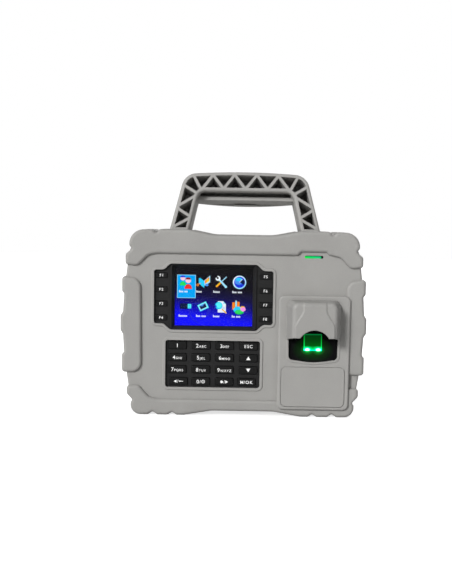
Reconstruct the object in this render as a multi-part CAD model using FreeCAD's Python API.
"""Portable fingerprint terminal with a carrying handle, one STEP file per piece.

Axes: +X to the right seen from the front, the face looks along -Y, +Z up.
Outlines are drawn in the XZ plane about the middle of the body, and depths are
measured from the face of the front housing, positive towards the back.  Every
piece is moved to the final frame, whose origin is under the middle of the
bounding box, when it is exported.
"""
import FreeCAD, Part
import math
import os

from FreeCAD import Vector

# ---- driving dimensions, millimetres and degrees -------------------------
MID_HEIGHT = 83.4        # middle of the body above the surface it stands on
FACE_Y = -19.35          # place of the housing face in the final frame
BODY_DEPTH = 52.0        # housing face to housing back
PARTING = 14.0           # depth where the front and rear housings meet
WALL = 3.0               # housing wall
RUBBER = 3.0             # how far the bumpers stand proud, all round
RUBBER_EDGE = 2.8        # radius of the bumpers' front and back edges
KEY_TRAVEL = 0.9
CLEARANCE = 0.35         # gap round every key and cover

HANDLE_LEAN = 13.0       # backward lean of the handle at rest
PIVOT_DEPTH = 33.0
PIVOT_HEIGHT = 69.0
PIN_RADIUS = 3.0
HANDLE_HALF_DEPTH = 15.5
RAIL = 3.2               # rims of the handle's ribbed band
STRUT = 2.5
WEB = (8.5, 11.5)        # web between the deep front pockets and the shallow rear ones

CORE_RIGHT = [(101.6, 77.0, 18), (106.6, 36.0, 40), (106.6, -36.0, 40), (100.6, -76.2, 16)]
TOP_EDGE = [
    (27.0, 79.8, 40), (50.0, 84.2, 25), (76.2, 84.2, 2.6), (78.7, 80.6, 1.6),
    (82.0, 83.8, 3.0), (102.9, 83.8, 13), (102.9, 69.6, 2.6), (100.6, 66.6, 1.6),
    (106.3, 61.5, 4.0), (106.3, 52.4, 3.0), (95.0, 51.2, 7.0), (86.0, 60.8, 8.0),
]
TOP_STEP_PLAIN = [(78.5, 62.5, 6.0)]
TOP_STEP_LIGHT = [(78.5, 62.6, 4.0), (75.4, 63.2, 3.0), (73.0, 65.8, 2.4), (51.0, 65.8, 2.4), (47.6, 62.5, 3.0)]
FLOOR = -MID_HEIGHT
BOTTOM_EDGE = [
    (28.0, -79.1, 30), (53.0, FLOOR, 4.0), (59.5, FLOOR, 3.0), (63.5, -80.9, 1.8),
    (67.5, FLOOR, 3.0), (77.0, FLOOR, 3.0), (81.3, -80.5, 1.8), (85.3, FLOOR, 3.0),
    (101.2, FLOOR, 9.0), (101.2, -72.6, 2.4), (99.6, -70.0, 1.6), (104.8, -64.5, 4.0),
    (104.8, -56.9, 3.0), (93.8, -56.3, 5.0), (85.0, -66.6, 8.0), (77.0, -68.9, 6.0),
]
SIDE_PAD = [
    (109.2, 42.3, 3.0), (109.2, 28.6, 2.2), (107.3, 26.4, 2.0), (108.3, 10.0, 3.0),
    (110.5, 6.6, 2.2), (110.5, -6.6, 2.2), (108.3, -10.0, 3.0), (107.3, -26.4, 2.0),
    (109.2, -28.6, 2.2), (109.2, -44.6, 3.0), (91.2, -45.0, 9.0), (92.0, 39.6, 9.0),
]

SCREEN_MIDDLE = (-27.2, 24.0)            # middle of the display window, x and z
DISPLAY_SIZE = (70.1, 52.6)              # lit area of a 3.5 inch display
SCREEN_HALF = (38.8, 29.8)               # main part of the display window
EAR_HALF = (53.5, 24.3)                  # window with the side key panels
EAR_CURVE = 6.0                          # S-curve between the two
SIDE_KEY_SIZE = (10.4, 4.7)
SIDE_KEY_COLUMNS = (-74.2, 19.4)
SIDE_KEY_TOP = 43.2
SIDE_KEY_PITCH = 12.75

KEYPAD_WINDOW = (-70.1, 15.4, -58.0, -15.0)
KEY_SIZE = (16.3, 6.8)
KEY_COLUMNS = (-59.3, -37.8, -16.6, 5.0)
KEY_ROWS = (-19.9, -30.8, -41.8, -52.7)
LAST_ROW_INSET = 1.3
KEY_NAMES = [
    ["1", "2", "3", "escape"], ["4", "5", "6", "up"],
    ["7", "8", "9", "down"], ["back", "0", "dot", "ok"],
]

PANEL = (31.2, 95.8, -76.4, 27.1)        # raised scanner panel: x, x, z, z
PANEL_RISE = 5.5
READER_PLATE = (34.6, 91.6, -73.3, -37.2)
SENSOR_X = 62.7
HOOD_RISE = 24.0
HOOD_BASE = (24.4, 23.3)                 # half width and upper height at the panel
HOOD_NOSE = (19.6, 22.4)                 # the same at the front of the hood
HOOD_FOOT = (-12.0, -8.9)                # height of the lower edge at the panel and at the front
PRISM_SIZE = (16.0, 14.6)
PRISM_HEIGHT = -15.0
SENSOR_TILT = 10.0

CASE_SCREWS = [(-86.5, 47), (86.5, 47), (-84, -56), (84, -56), (24, 56), (24, -64)]
PANEL_SCREWS = [(35.5, 21), (91.5, 21), (35.5, -34.5), (91.5, -34.5)]
BATTERY_MIDDLE = (36.0, -16.0)
BATTERY_BAY = (80.0, 52.0, 18.4)
BATTERY_SCREWS = [(-4.4, -16.0), (76.4, -16.0)]
PORT_MIDDLE = (-50.0, -45.0)
PORT_BAY = (46.0, 18.0, 7.5)
SPEAKER_MIDDLE = (-50.0, 5.0)
SPEAKER_RADIUS = 18.0
LIGHT_SLOT = (62.1, 61.5, 16.8, 2.6)     # middle x, middle z, length, height

BIG = 300.0
ALONG_X = Vector(1, 0, 0)
ALONG_Y = Vector(0, 1, 0)


# ---- drawing helpers ------------------------------------------------------
def corner_arc(before, corner, after):
    """Start, middle and end of the tangent arc that rounds one corner."""
    tip = Vector(corner[0], 0, corner[1])
    if not corner[2]:
        return [tip]
    back = Vector(before[0], 0, before[1]).sub(tip).normalize()
    ahead = Vector(after[0], 0, after[1]).sub(tip).normalize()
    half = back.getAngle(ahead) / 2
    reach = corner[2] / math.tan(half)
    bisector = (back + ahead).normalize()
    middle = tip + bisector * (corner[2] / math.sin(half) - corner[2])
    return [tip + back * reach, middle, tip + ahead * reach]


def outline(corners):
    """Closed wire through (x, z, radius) corners."""
    count = len(corners)
    arcs = [corner_arc(corners[i - 1], corners[i], corners[(i + 1) % count]) for i in range(count)]
    edges = []
    for i, arc in enumerate(arcs):
        if len(arc) == 3:
            edges.append(Part.Arc(*arc).toShape())
        start, end = arc[-1], arcs[(i + 1) % count][0]
        edges.append(Part.LineSegment(start, end).toShape())
    return Part.Wire(edges)


def mirrored(right, left=None):
    """Full outline from its right half and, where it differs, its left half."""
    return right + [(-x, z, r) for x, z, r in reversed(left or right)]


def plate(wire, front, back):
    face = Part.Face(wire)
    face.translate(Vector(0, front, 0))
    return face.extrude(Vector(0, back - front, 0))


def rect(x0, x1, z0, z1, radius=0.0):
    return outline([(x0, z0, radius), (x1, z0, radius), (x1, z1, radius), (x0, z1, radius)])


def centred(middle, size, radius=0.0, grow=0.0):
    half_x, half_z = size[0] / 2 + grow, size[1] / 2 + grow
    return rect(middle[0] - half_x, middle[0] + half_x, middle[1] - half_z, middle[1] + half_z, radius)


def block(x0, x1, y0, y1, z0, z1):
    return Part.makeBox(x1 - x0, y1 - y0, z1 - z0, Vector(x0, y0, z0))


def rod(x, z, radius, front, back):
    return Part.makeCylinder(radius, back - front, Vector(x, front, z), ALONG_Y)


def side_profile(corners, x0, x1):
    """Prism along X from (depth, height) corners."""
    points = [Vector(x0, y, z) for y, z in corners]
    face = Part.Face(Part.makePolygon(points + points[:1]))
    return face.extrude(Vector(x1 - x0, 0, 0))


def grown(wire, distance):
    return wire.makeOffset2D(distance)


def softened(shape, depth, radius):
    """Rounds every edge that lies in the plane at one depth."""
    edges = [e for e in shape.Edges if abs(e.BoundBox.YMin - depth) < 0.01 and abs(e.BoundBox.YMax - depth) < 0.01]
    return shape.makeFillet(radius, edges)


def group(solids):
    return Part.makeCompound(solids)


# ---- outlines that several pieces share -----------------------------------
def core_wire():
    return outline(mirrored(CORE_RIGHT))


def screen_wire():
    """Display window: the main rectangle with a key panel at each side, joined by S-curves."""
    tall, wide = SCREEN_HALF[1], EAR_HALF[0]
    step = SCREEN_HALF[1] - EAR_HALF[1]
    right = [
        (SCREEN_HALF[0], tall, 4.0), (SCREEN_HALF[0] + EAR_CURVE, tall - step, 4.6), (wide, tall - step, 2.3),
        (wide, step - tall, 2.3), (SCREEN_HALF[0] + EAR_CURVE, step - tall, 4.6), (SCREEN_HALF[0], -tall, 4.0),
    ]
    wire = outline(mirrored(right))
    wire.translate(Vector(SCREEN_MIDDLE[0], 0, SCREEN_MIDDLE[1]))
    return wire


def sensor_wire():
    half = 22.6
    corners = [
        (SENSOR_X - half, 10.0, 2.0), (SENSOR_X + half, 10.0, 2.0), (SENSOR_X + half - 0.7, -30.2, 3.5),
        (SENSOR_X, -33.2, 60.0), (SENSOR_X - half + 0.7, -30.2, 3.5),
    ]
    return outline(corners)


def light_wire(grow=0.0):
    x, z, length, height = LIGHT_SLOT
    return centred((x, z), (length, height), height / 2 + grow - 0.01, grow)


def key_places():
    """Name and middle of each keypad key."""
    places = []
    for row, names in enumerate(KEY_NAMES):
        for column, name in enumerate(names):
            x = KEY_COLUMNS[column]
            if row == len(KEY_NAMES) - 1 and column in (0, len(names) - 1):
                x += LAST_ROW_INSET if column == 0 else -LAST_ROW_INSET
            places.append(("key_" + name, (x, KEY_ROWS[row])))
    return places


def side_key_places():
    places = []
    for column, x in enumerate(SIDE_KEY_COLUMNS):
        for row in range(4):
            number = 4 * column + row + 1
            places.append(("key_f%d" % number, (x, SIDE_KEY_TOP - row * SIDE_KEY_PITCH)))
    return places


# ---- bumpers ----------------------------------------------------------------
def bumper(corners):
    """Rubber piece that wraps the case from front to back inside one outline."""
    body = plate(outline(corners), -RUBBER, BODY_DEPTH + RUBBER)
    body = softened(body, -RUBBER, RUBBER_EDGE)
    body = softened(body, BODY_DEPTH + RUBBER, RUBBER_EDGE)
    return body.cut(plate(core_wire(), 0, BODY_DEPTH))


def panel_clearance():
    return plate(rect(*PANEL, 5.5), -2 * PANEL_RISE, 0)


def top_bumper():
    body = bumper(mirrored(TOP_EDGE + TOP_STEP_LIGHT, TOP_EDGE + TOP_STEP_PLAIN))
    return body.cut(handle_slots())


def bottom_bumper():
    return bumper(mirrored(BOTTOM_EDGE)).cut(panel_clearance())


def right_bumper():
    return bumper(SIDE_PAD).cut(panel_clearance())


def left_bumper():
    return bumper([(-x, z, r) for x, z, r in reversed(SIDE_PAD)])


# ---- handle -------------------------------------------------------------------
LEG_OUTER = 69.7
LEG_INNER = 51.9
BAND = [
    (0.0, 68.4, 620), (56.0, 64.4, 14), (LEG_OUTER, 8.0, 6), (LEG_OUTER, -16.0, 0),
    (LEG_INNER, -16.0, 0), (LEG_INNER, 8.0, 6), (43.2, 48.4, 8),
]
ZIGZAG = [
    ((0.0, 50.5), (10.2, 64.0)), ((10.2, 64.0), (20.2, 50.5)), ((20.2, 50.5), (30.0, 63.5)),
    ((30.0, 63.5), (40.0, 50.0)), ((40.0, 48.0), (47.8, 62.5)), ((43.2, 45.3), (56.8, 53.6)),
    ((45.6, 43.8), (61.0, 34.4)), ((50.5, 24.4), (61.6, 31.4)), ((51.5, 22.4), (65.0, 14.6)),
]
POCKET_FLOOR = 13.8
SLOT_INNER = 47.2
SLOT_OUTER = 70.3
SLOT_RADIUS = HANDLE_HALF_DEPTH + 0.5


def strut(start, end, front, back):
    """Rib of constant width between two points of the handle's plane."""
    along = Vector(end[0] - start[0], 0, end[1] - start[1])
    bar = block(0, along.Length, front, back, -STRUT / 2, STRUT / 2)
    bar.rotate(Vector(), ALONG_Y, -math.degrees(math.atan2(along.z, along.x)))
    bar.translate(Vector(start[0], 0, start[1]))
    return bar


def handle_pockets(front, back):
    """Blind pockets between the rims, with the zigzag ribs left standing."""
    wire = grown(outline([BAND[0]] + mirrored(BAND[1:])), -RAIL)
    space = plate(wire, front, back)
    space = space.cut(block(-BIG, BIG, front - 1, back + 1, -BIG, POCKET_FLOOR))
    ribs = []
    for start, end in ZIGZAG:
        ribs.append(strut(start, end, front, back))
        ribs.append(strut((-start[0], start[1]), (-end[0], end[1]), front, back))
    return space.cut(ribs)


def grip_underside():
    """Shelf and deeper crowned rear rail under the grip, which fill the palm."""
    shelf = block(-45.5, 45.5, -4.5, 9.0, 42.4, 46.2)
    shelf = shelf.makeFillet(1.0, [e for e in shelf.Edges if e.BoundBox.YMax < -4.4 and e.BoundBox.XLength > 50])
    crown = outline([(-47.0, 50.0, 0), (-46.2, 43.6, 0), (0.0, 38.8, 420), (46.2, 43.6, 0), (47.0, 50.0, 0)])
    rail = softened(plate(crown, 7.5, HANDLE_HALF_DEPTH), HANDLE_HALF_DEPTH, 2.0)
    return shelf, rail.cut(block(-43.0, 43.0, 7.0, 10.5, 41.2, 42.4))


def handle():
    half = HANDLE_HALF_DEPTH
    body = plate(outline([BAND[0]] + mirrored(BAND[1:])), -half, half)
    body = softened(body, -half, 2.0)
    body = softened(body, half, 2.0)
    body = body.fuse(grip_underside())
    groove = block(-42.0, 42.0, -10.0, 7.5, 46.2, 50.2)
    body = body.cut(groove)
    body = body.cut([handle_pockets(-half - 1, WEB[0]), handle_pockets(WEB[1], half + 1)])
    round_end = Part.makeCylinder(half, 2 * BIG, Vector(-BIG, 0, 0), ALONG_X)
    body = body.common(round_end.fuse(block(-BIG, BIG, -half, half, 0, BIG)).removeSplitter())
    body = body.cut(Part.makeCylinder(PIN_RADIUS + 0.06, 2 * BIG, Vector(-BIG, 0, 0), ALONG_X))
    body.rotate(Vector(), ALONG_X, -HANDLE_LEAN)
    body.translate(Vector(0, PIVOT_DEPTH, PIVOT_HEIGHT))
    return body


def handle_pins():
    pins = []
    for side in (-1, 1):
        start = side * (SLOT_INNER - 2.0)
        pins.append(Part.makeCylinder(
            PIN_RADIUS, SLOT_OUTER - SLOT_INNER + 4.0, Vector(start, PIVOT_DEPTH, PIVOT_HEIGHT), ALONG_X * side))
    return group(pins)


def handle_slots(grow=0.0):
    """Space that each leg sweeps, open to the top and to the back."""
    slots = []
    for side in (-1, 1):
        x0, x1 = sorted((side * (SLOT_INNER - grow), side * (SLOT_OUTER + grow)))
        radius = SLOT_RADIUS + grow
        above = block(x0, x1, PIVOT_DEPTH - radius, 2 * BODY_DEPTH, PIVOT_HEIGHT, BIG)
        behind = block(x0, x1, PIVOT_DEPTH, 2 * BODY_DEPTH, PIVOT_HEIGHT - radius, PIVOT_HEIGHT + 1)
        trough = Part.makeCylinder(radius, x1 - x0, Vector(x0, PIVOT_DEPTH, PIVOT_HEIGHT), ALONG_X)
        slots.append(above.fuse([behind, trough]))
    return slots


# ---- housings -----------------------------------------------------------------
SEAL_OUTER = 0.9
SEAL_INNER = 2.1
SEAL_HALF = 0.8
BOSS = 4.0


def seal_ring():
    outer = plate(grown(core_wire(), -SEAL_OUTER), PARTING - SEAL_HALF, PARTING + SEAL_HALF)
    return outer.cut(plate(grown(core_wire(), -SEAL_INNER), PARTING - SEAL_HALF, PARTING + SEAL_HALF))


def lip(wire, width, rise, front):
    """Soft raised border round a window."""
    rim = plate(grown(wire, width), front - rise, front + 1)
    return softened(rim, front - rise, rise * 0.8)


def front_housing():
    shell = softened(plate(core_wire(), 0, PARTING), 0, 2.0)
    cavity = plate(grown(core_wire(), -WALL), WALL, PARTING)
    cavity = cavity.cut([rod(x, z, BOSS, 0, PARTING) for x, z in CASE_SCREWS])
    shell = shell.cut(cavity)
    keypad = rect(*KEYPAD_WINDOW, 2.3)
    shell = shell.fuse([lip(screen_wire(), 2.4, 0.9, 0), lip(keypad, 2.6, 0.9, 0)])
    holes = [rod(x, z, 1.5, WALL, PARTING) for x, z in CASE_SCREWS]
    holes += [rod(x, z, 1.1, -1, WALL) for x, z in PANEL_SCREWS]
    windows = [
        plate(screen_wire(), -2, WALL), plate(keypad, -2, WALL),
        plate(grown(sensor_wire(), 1.0), -1, WALL), plate(light_wire(), -1, WALL),
    ]
    return shell.cut(windows + holes + [seal_ring()])


def rear_housing():
    shell = softened(plate(core_wire(), PARTING, BODY_DEPTH), BODY_DEPTH, 4.0)
    cavity = plate(grown(core_wire(), -WALL), PARTING, BODY_DEPTH - WALL)
    bay_wide = centred(BATTERY_MIDDLE, BATTERY_BAY, 3.0, 6.0)
    kept = [rod(x, z, BOSS, PARTING, BODY_DEPTH) for x, z in CASE_SCREWS]
    kept += handle_slots(WALL)
    kept.append(plate(centred(BATTERY_MIDDLE, BATTERY_BAY, 2.0, 2.0), BODY_DEPTH - 23.0, BODY_DEPTH))
    kept.append(plate(bay_wide, BODY_DEPTH - 5.0, BODY_DEPTH))
    kept.append(plate(centred(PORT_MIDDLE, PORT_BAY, 2.0, 2.0), PORT_FLOOR - 2.1, BODY_DEPTH))
    shell = shell.cut(cavity.cut(kept))
    cover = plate(centred(BATTERY_MIDDLE, BATTERY_BAY, 3.0, 4.0), BODY_DEPTH - 2.6, BODY_DEPTH + 1)
    bay = plate(centred(BATTERY_MIDDLE, BATTERY_BAY), BODY_DEPTH - 2.6 - BATTERY_BAY[2], BODY_DEPTH)
    port = plate(centred(PORT_MIDDLE, PORT_BAY, 1.5), PORT_FLOOR, BODY_DEPTH + 1)
    cuts = handle_slots() + [cover, bay, port, seal_ring()]
    cuts += [plate(wire, PARTING, BODY_DEPTH) for wire in socket_wires()]
    cuts += [rod(x, z, 1.7, PARTING, BODY_DEPTH) for x, z in CASE_SCREWS]
    cuts += [rod(x, z, 3.2, BODY_DEPTH - 3.2, BODY_DEPTH + 1) for x, z in CASE_SCREWS]
    cuts += [rod(x, z, 1.0, BODY_DEPTH - 5.0, BODY_DEPTH) for x, z in BATTERY_SCREWS]
    cuts += speaker_slots()
    pin_length = SLOT_OUTER - SLOT_INNER + 4.0
    for side in (-1, 1):
        start = Vector(side * (SLOT_INNER - 2.0), PIVOT_DEPTH, PIVOT_HEIGHT)
        cuts.append(Part.makeCylinder(PIN_RADIUS, pin_length, start, ALONG_X * side))
    return shell.cut(cuts)


def speaker_slots():
    slots = []
    for step in range(-3, 4):
        x = SPEAKER_MIDDLE[0] + 4.0 * step
        half = math.sqrt((SPEAKER_RADIUS - 3.0) ** 2 - (4.0 * step) ** 2)
        wire = rect(x - 1.0, x + 1.0, SPEAKER_MIDDLE[1] - half, SPEAKER_MIDDLE[1] + half, 0.99)
        slots.append(plate(wire, BODY_DEPTH - WALL - 1, BODY_DEPTH + 1))
    return slots


def case_screws():
    screws = []
    for x, z in CASE_SCREWS:
        head = rod(x, z, 2.8, BODY_DEPTH - 3.2, BODY_DEPTH - 0.8)
        socket = block(x - 0.5, x + 0.5, BODY_DEPTH - 2.0, BODY_DEPTH, z - 2, z + 2)
        cross = block(x - 2, x + 2, BODY_DEPTH - 2.0, BODY_DEPTH, z - 0.5, z + 0.5)
        screws.append(head.fuse(rod(x, z, 1.5, 5.0, BODY_DEPTH - 3.2)).removeSplitter().cut([socket, cross]))
    return group(screws)


# ---- display --------------------------------------------------------------------
BEZEL_FRONT = 0.3
EAR_FRONT = 1.6
BEZEL_BACK = 4.4
GLASS = 1.0
AIR_GAP = 0.3            # between the window and the display behind it
DISPLAY_FRONT = BEZEL_BACK + GLASS + AIR_GAP
DISPLAY_THICK = 3.3


def screen_bezel():
    """Black frame with a mitred slope down to the display and a key panel at each side."""
    ears = plate(grown(screen_wire(), -0.15), EAR_FRONT, BEZEL_BACK)
    size = (2 * SCREEN_HALF[0], 2 * SCREEN_HALF[1])
    rim = plate(centred(SCREEN_MIDDLE, size, 3.0, -0.2), BEZEL_FRONT, BEZEL_BACK)
    body = ears.fuse(softened(rim, BEZEL_FRONT, 0.5)).removeSplitter()
    outer = centred(SCREEN_MIDDLE, size, 1.2, -1.0)
    inner = centred(SCREEN_MIDDLE, DISPLAY_SIZE, 0.3, 0.2)
    outer.translate(Vector(0, BEZEL_FRONT - 0.1, 0))
    inner.translate(Vector(0, BEZEL_BACK - 0.8, 0))
    slope = Part.makeLoft([outer, inner], True, True)
    opening = plate(centred(SCREEN_MIDDLE, DISPLAY_SIZE, 0.3, 0.2), BEZEL_BACK - 0.9, BEZEL_BACK + 1)
    holes = [plate(centred(p, SIDE_KEY_SIZE, 1.2, CLEARANCE), 0, BEZEL_BACK + 1) for _, p in side_key_places()]
    return body.cut([slope, opening] + holes)


def screen_glass():
    wire = centred(SCREEN_MIDDLE, DISPLAY_SIZE, 0.5, 1.6)
    return plate(wire, BEZEL_BACK, BEZEL_BACK + GLASS)


def display_module():
    """Display panel, longer below its lit area where the driver chip and flex are."""
    x, z = SCREEN_MIDDLE
    return block(x - 38.4, x + 38.4, DISPLAY_FRONT, DISPLAY_FRONT + DISPLAY_THICK, z - 34.0, z + 29.4)


def side_key(place):
    """Key with a raised border, and a bar in the border at each end."""
    width, height = SIDE_KEY_SIZE
    front = EAR_FRONT - 0.9
    cap = softened(plate(centred(place, SIDE_KEY_SIZE, 1.0), front, BEZEL_BACK + 0.4), front, 0.3)
    cap = cap.cut(plate(centred(place, (width - 4.2, height - 1.4), 0.5), front - 1, front + 0.35))
    flange = plate(centred(place, SIDE_KEY_SIZE, 1.2, 1.0), BEZEL_BACK + 0.3, BEZEL_BACK + 0.9)
    return cap.fuse(flange)


def side_key_mats():
    front = BEZEL_BACK + 0.9 + KEY_TRAVEL + 0.3
    return [side_column(x, 12.6, front, front + 0.8) for x in SIDE_KEY_COLUMNS]


def side_key_boards():
    front = BEZEL_BACK + 0.9 + KEY_TRAVEL + 1.2
    return [side_column(x, 13.0, front, front + 1.6) for x in SIDE_KEY_COLUMNS]


def side_column(x, width, front, back):
    outward = 0.6 if x > SCREEN_MIDDLE[0] else -0.6
    z = SIDE_KEY_TOP - 1.5 * SIDE_KEY_PITCH
    return plate(centred((x + outward, z), (width, 48.0), 1.0), front, back)


def display_ribbon():
    return ribbon(-40.0, 22.0, DISPLAY_FRONT + DISPLAY_THICK, BOARD_DEPTH, -8.0)


# ---- keypad -----------------------------------------------------------------------
FRAME_FRONT = 1.6
FRAME_BACK = 3.6


def keypad_frame():
    x0, x1, z0, z1 = KEYPAD_WINDOW
    body = plate(rect(x0 + 0.15, x1 - 0.15, z0 + 0.15, z1 - 0.15, 2.1), FRAME_FRONT, FRAME_BACK)
    flange = plate(rect(x0 - 2.0, x1 + 2.0, z0 - 2.0, z1 + 2.0, 2.1), WALL, FRAME_BACK)
    holes = [plate(centred(p, KEY_SIZE, 1.3, CLEARANCE), 0, WALL + 2) for _, p in key_places()]
    return body.fuse(flange).cut(holes)


def key(place):
    front = FRAME_FRONT - 1.3
    cap = softened(plate(centred(place, KEY_SIZE, 1.3), front, FRAME_BACK + 0.4), front, 0.55)
    flange = plate(centred(place, KEY_SIZE, 1.4, 0.9), FRAME_BACK + 0.3, FRAME_BACK + 0.9)
    return cap.fuse(flange)


def keypad_mat():
    """Silicone sheet with a dome behind each key."""
    front = FRAME_BACK + 0.9 + KEY_TRAVEL + 0.3
    x0, x1, z0, z1 = KEYPAD_WINDOW
    sheet = plate(rect(x0 - 2, x1 + 2, z0 - 2, z1 + 2, 3.0), front + 0.6, front + 1.4)
    domes = [plate(centred(p, (10.0, 5.0), 2.0), front, front + 0.8) for _, p in key_places()]
    return sheet.fuse(domes)


def keypad_board():
    front = FRAME_BACK + 0.9 + KEY_TRAVEL + 1.7
    x0, x1, z0, z1 = KEYPAD_WINDOW
    return plate(rect(x0 - 2, x1 + 2, z0 - 2, z1 + 2, 1.0), front, front + 1.6)


def keypad_ribbon():
    return ribbon(-35.0, 16.0, FRAME_BACK + KEY_TRAVEL + 4.2, BOARD_DEPTH, -46.0)


# ---- boards, battery, sockets and speaker ----------------------------------------
BOARD_DEPTH = 20.0


def ribbon(x, width, front, back, height):
    """Flat flex that turns back on itself from one board to the next."""
    thick = 0.3
    radius = (back - front) / 2
    middle = Vector(x, front + radius, height)
    bend = Part.makeCylinder(radius, width, middle, ALONG_X)
    bend = bend.cut(Part.makeCylinder(radius - thick, width, middle, ALONG_X))
    bend = bend.cut(block(x - 1, x + width + 1, front - 1, back + 1, height, height + BIG))
    tails = [
        block(x, x + width, front, front + thick, height, height + 5.0),
        block(x, x + width, back - thick, back, height, height + 5.0),
    ]
    return bend.fuse(tails).removeSplitter()


def main_board():
    """Circuit board with its processor, module and connector blocks."""
    board = block(-70.0, 38.0, BOARD_DEPTH, BOARD_DEPTH + 1.6, -55.0, 45.0)
    back = BOARD_DEPTH + 1.6
    parts = [
        block(-36.0, -20.0, back, back + 1.4, 12.0, 28.0), block(-12.0, 0.0, back, back + 1.1, 14.0, 26.0),
        block(-60.0, -50.0, back, back + 6.0, -40.0, -34.0), block(14.0, 30.0, back, back + 3.0, -46.0, -30.0),
        block(-64.0, -46.0, back, back + 2.6, 30.0, 40.0), block(8.0, 30.0, back, back + 5.0, 34.0, 42.0),
    ]
    return board.fuse(parts)


def battery_pack():
    """Two round cells side by side in a shrink sleeve."""
    x, z = BATTERY_MIDDLE
    depth = BODY_DEPTH - 2.6 - BATTERY_BAY[2] / 2
    cells = [
        Part.makeCylinder(8.9, 76.0, Vector(x - 38.0, depth, z + dz), ALONG_X) for dz in (-9.2, 9.2)
    ]
    bridge = block(x - 38.0, x + 38.0, depth - 6.0, depth + 6.0, z - 8.0, z + 8.0)
    return cells[0].fuse([cells[1], bridge])


def battery_cover():
    wire = centred(BATTERY_MIDDLE, BATTERY_BAY, 2.8, 3.7)
    cover = softened(plate(wire, BODY_DEPTH - 2.6, BODY_DEPTH - 0.1), BODY_DEPTH - 0.1, 0.5)
    x, z = BATTERY_MIDDLE
    ribs = [plate(centred((x + 9.0 * i, z), (3.0, 34.0), 1.4), BODY_DEPTH - 0.9, BODY_DEPTH) for i in range(-3, 4)]
    holes = [rod(sx, sz, 1.2, BODY_DEPTH - 3, BODY_DEPTH + 1) for sx, sz in BATTERY_SCREWS]
    sinks = [rod(sx, sz, 2.4, BODY_DEPTH - 1.3, BODY_DEPTH + 1) for sx, sz in BATTERY_SCREWS]
    return cover.cut(ribs + holes + sinks)


def battery_screws():
    screws = []
    for x, z in BATTERY_SCREWS:
        head = rod(x, z, 2.1, BODY_DEPTH - 1.3, BODY_DEPTH - 0.3)
        slot = block(x - 1.5, x + 1.5, BODY_DEPTH - 0.8, BODY_DEPTH, z - 0.35, z + 0.35)
        screws.append(head.fuse(rod(x, z, 1.0, BODY_DEPTH - 4.8, BODY_DEPTH - 1.3)).removeSplitter().cut(slot))
    return group(screws)


PORT_FLOOR = BODY_DEPTH - PORT_BAY[2]
IO_BOARD_BACK = 31.0
DC_X, USB_X, LAN_X = -66.5, -53.0, -36.0
DC_SIZE, USB_SIZE, LAN_SIZE = (9.0, 11.0), (14.5, 7.2), (15.9, 13.4)


def socket_wires():
    z = PORT_MIDDLE[1]
    return [centred((DC_X, z), DC_SIZE), centred((USB_X, z), USB_SIZE), centred((LAN_X, z), LAN_SIZE)]


def dc_jack():
    z = PORT_MIDDLE[1]
    body = plate(socket_wires()[0], IO_BOARD_BACK, PORT_FLOOR)
    body = body.cut(rod(DC_X, z, 3.2, PORT_FLOOR - 9.5, PORT_FLOOR + 1))
    return body.fuse(rod(DC_X, z, 1.05, PORT_FLOOR - 10.0, PORT_FLOOR - 1.0))


def usb_socket():
    z = PORT_MIDDLE[1]
    body = plate(socket_wires()[1], IO_BOARD_BACK, PORT_FLOOR)
    body = body.cut(plate(centred((USB_X, z), (12.5, 5.1)), PORT_FLOOR - 10.0, PORT_FLOOR + 1))
    tongue = plate(centred((USB_X, z + 1.2), (11.1, 1.9)), PORT_FLOOR - 10.5, PORT_FLOOR - 1.0)
    return body.fuse(tongue)


def network_socket():
    z = PORT_MIDDLE[1]
    body = plate(socket_wires()[2], IO_BOARD_BACK, PORT_FLOOR)
    body = body.cut(plate(centred((LAN_X, z + 0.6), (11.8, 8.0)), PORT_FLOOR - 11.0, PORT_FLOOR + 1))
    return body.cut(plate(centred((LAN_X, z - 4.2), (6.0, 2.4)), PORT_FLOOR - 11.0, PORT_FLOOR + 1))


def socket_board():
    return block(-74.0, -26.0, IO_BOARD_BACK - 1.6, IO_BOARD_BACK, -54.0, -35.5)


def port_cover():
    """Rubber flap over the sockets, bent back about its lower edge."""
    wire = centred(PORT_MIDDLE, PORT_BAY, 1.2, -CLEARANCE)
    flap = plate(wire, BODY_DEPTH - 2.4, BODY_DEPTH + 0.2)
    tab = plate(rect(PORT_MIDDLE[0] - 5, PORT_MIDDLE[0] + 5, -38.6, -36.8, 0.7), BODY_DEPTH, BODY_DEPTH + 1.0)
    return softened(flap, BODY_DEPTH + 0.2, 0.5).fuse(tab)


def speaker():
    x, z = SPEAKER_MIDDLE
    back = BODY_DEPTH - WALL
    basket = rod(x, z, SPEAKER_RADIUS, back - 3.0, back)
    magnet = rod(x, z, 9.0, back - 9.0, back - 3.0)
    cone = Part.makeCone(4.0, SPEAKER_RADIUS - 3.0, 2.2, Vector(x, back - 2.2, z), ALONG_Y)
    return basket.fuse(magnet).removeSplitter().cut(cone)


# ---- scanner ------------------------------------------------------------------------
PANEL_FRONT = -PANEL_RISE
PANEL_SKIN = 2.5


def scanner_panel():
    wire = rect(*PANEL, 5.5)
    shell = softened(plate(wire, PANEL_FRONT, 0), PANEL_FRONT, 1.8)
    cavity = plate(grown(wire, -PANEL_SKIN), PANEL_FRONT + PANEL_SKIN, 0)
    cavity = cavity.cut([rod(x, z, 2.6, -PANEL_RISE, 0) for x, z in PANEL_SCREWS])
    shell = shell.cut(cavity).fuse(lip(sensor_wire(), 2.0, 0.7, PANEL_FRONT))
    recess = plate(grown(rect(*READER_PLATE, 4.6), 0.4), PANEL_FRONT - 1, PANEL_FRONT + 1.1)
    holes = [rod(x, z, 0.9, -2.6, 1) for x, z in PANEL_SCREWS]
    return shell.cut([recess, plate(sensor_wire(), -10, 1)] + holes)


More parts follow.
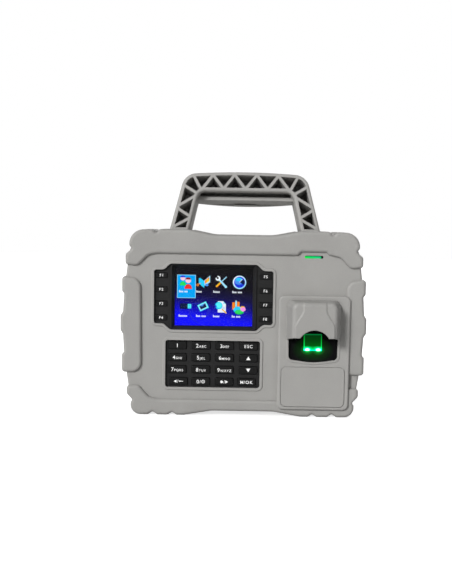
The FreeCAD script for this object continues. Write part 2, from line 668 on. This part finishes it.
def reader_plate():
    front = PANEL_FRONT + 0.1
    return softened(plate(rect(*READER_PLATE, 4.6), front, PANEL_FRONT + 1.1), front, 0.35)


def reader_antenna():
    """Loop board for contactless cards behind the plate."""
    x0, x1, z0, z1 = READER_PLATE
    board = plate(rect(x0 + 3, x1 - 3, z0 + 3, z1 - 3, 2.0), -2.8, -1.8)
    return board.cut(plate(rect(x0 + 11, x1 - 11, z0 + 10, z1 - 10, 2.0), -3, -1))


def panel_screws():
    return group([
        rod(x, z, 2.0, WALL, WALL + 1.4).fuse(rod(x, z, 0.9, -2.4, WALL)).removeSplitter() for x, z in PANEL_SCREWS])


def hood_section(half, high, depth, inset):
    """Outline of the hood at one depth, carried down past its open lower end."""
    wire = rect(SENSOR_X - half + inset, SENSOR_X + half - inset, HOOD_FOOT[0] - 12, high - inset, 6.0 - inset)
    wire.translate(Vector(0, depth, 0))
    return wire


def hood_body(inset, front):
    back = PANEL_FRONT
    return Part.makeLoft([hood_section(*HOOD_BASE, back, inset), hood_section(*HOOD_NOSE, front, inset)], True, True)


def scanner_hood():
    """Canopy over the sensor, open below, with an arch over the finger."""
    outer = hood_body(0.0, -HOOD_RISE)
    nose = [e for e in outer.Edges if e.BoundBox.YMax < 0.01 - HOOD_RISE]
    outer = outer.makeFillet(4.0, nose)
    below = [
        (PANEL_FRONT + 1, HOOD_FOOT[0]), (PANEL_FRONT, HOOD_FOOT[0]), (-HOOD_RISE, HOOD_FOOT[1]),
        (-HOOD_RISE - 1, HOOD_FOOT[1]), (-HOOD_RISE - 1, -BIG), (PANEL_FRONT + 1, -BIG),
    ]
    outer = outer.cut(side_profile(below, 0, BIG))
    inner = hood_body(2.4, 2.4 - HOOD_RISE)
    arch = Part.makeCylinder(14.6, BIG, Vector(SENSOR_X, -BIG, -16.5), ALONG_Y)
    return outer.cut([inner, arch, lip(sensor_wire(), 2.0, 0.7, PANEL_FRONT)])


def sensor_slope(front, low, high):
    """Lower and upper end of the tilted finger surface, as (depth, height)."""
    return [(front + (z - low) * math.tan(math.radians(SENSOR_TILT)), z) for z in (low, high)]


SLOPE_FRONT = -4.4
SLOPE_LOW = -29.0
SLOPE_HIGH = 12.0


def sensor_frame():
    """Black finger tray: a rim along the bottom and a slope that holds the prism."""
    body = plate(grown(sensor_wire(), -0.2), -5.2, 6.5)
    slope = sensor_slope(SLOPE_FRONT, SLOPE_LOW, SLOPE_HIGH)
    body = body.cut(side_profile([(-9.0, SLOPE_LOW + 0.6)] + slope + [(-9.0, SLOPE_HIGH)], 0, BIG))
    return body.cut(prism_solid(0.15))


def prism_solid(grow=0.0):
    half_x, half_z = PRISM_SIZE[0] / 2 + grow, PRISM_SIZE[1] / 2 + grow
    low, high = PRISM_HEIGHT - half_z, PRISM_HEIGHT + half_z
    corners = sensor_slope(SLOPE_FRONT - 0.8 + (low - SLOPE_LOW) * math.tan(math.radians(SENSOR_TILT)), low, high)
    return side_profile(corners + [(6.5 + grow, high), (6.5 + grow, low)], SENSOR_X - half_x, SENSOR_X + half_x)


def sensor_board():
    """Camera and lamp board behind the prism."""
    board = block(SENSOR_X - 20, SENSOR_X + 20, 7.0, 8.6, -31.0, 8.0)
    camera = rod(SENSOR_X, PRISM_HEIGHT, 4.5, 8.6, 13.0)
    connector = block(SENSOR_X - 8, SENSOR_X + 8, 8.6, 11.6, 1.0, 5.0)
    return board.fuse([camera, connector])


def status_light():
    pipe = plate(light_wire(-0.05), 0.5, 8.0)
    x, z, length, height = LIGHT_SLOT
    return pipe.fuse(plate(centred((x, z), (length + 3.0, height + 3.0), 1.5), WALL, WALL + 1.0))


# ---- export -----------------------------------------------------------------------
def build():
    pieces = {
        "front_housing": front_housing(), "rear_housing": rear_housing(), "housing_seal": seal_ring(),
        "top_bumper": top_bumper(), "bottom_bumper": bottom_bumper(),
        "left_bumper": left_bumper(), "right_bumper": right_bumper(),
        "handle": handle(), "handle_pins": handle_pins(), "case_screws": case_screws(),
        "screen_bezel": screen_bezel(), "screen_glass": screen_glass(), "display_module": display_module(),
        "keypad_frame": keypad_frame(), "key_mats": group(side_key_mats() + [keypad_mat()]),
        "key_boards": group(side_key_boards() + [keypad_board()]),
        "flat_cables": group([display_ribbon(), keypad_ribbon()]), "main_board": main_board(),
        "battery_pack": battery_pack(), "battery_cover": battery_cover(), "battery_screws": battery_screws(),
        "dc_jack": dc_jack(), "usb_socket": usb_socket(), "network_socket": network_socket(),
        "socket_board": socket_board(), "port_cover": port_cover(), "speaker": speaker(),
        "scanner_panel": scanner_panel(), "reader_plate": reader_plate(), "reader_antenna": reader_antenna(),
        "panel_screws": panel_screws(), "scanner_hood": scanner_hood(), "sensor_frame": sensor_frame(),
        "sensor_prism": prism_solid(), "sensor_board": sensor_board(), "status_light": status_light(),
    }
    for name, place in key_places():
        pieces[name] = key(place)
    for name, place in side_key_places():
        pieces[name] = side_key(place)
    return pieces


def main():
    os.makedirs("parts", exist_ok=True)
    for name, shape in build().items():
        shape.translate(Vector(0, FACE_Y, MID_HEIGHT))
        shape.exportStep("parts/%s.step" % name)


main()
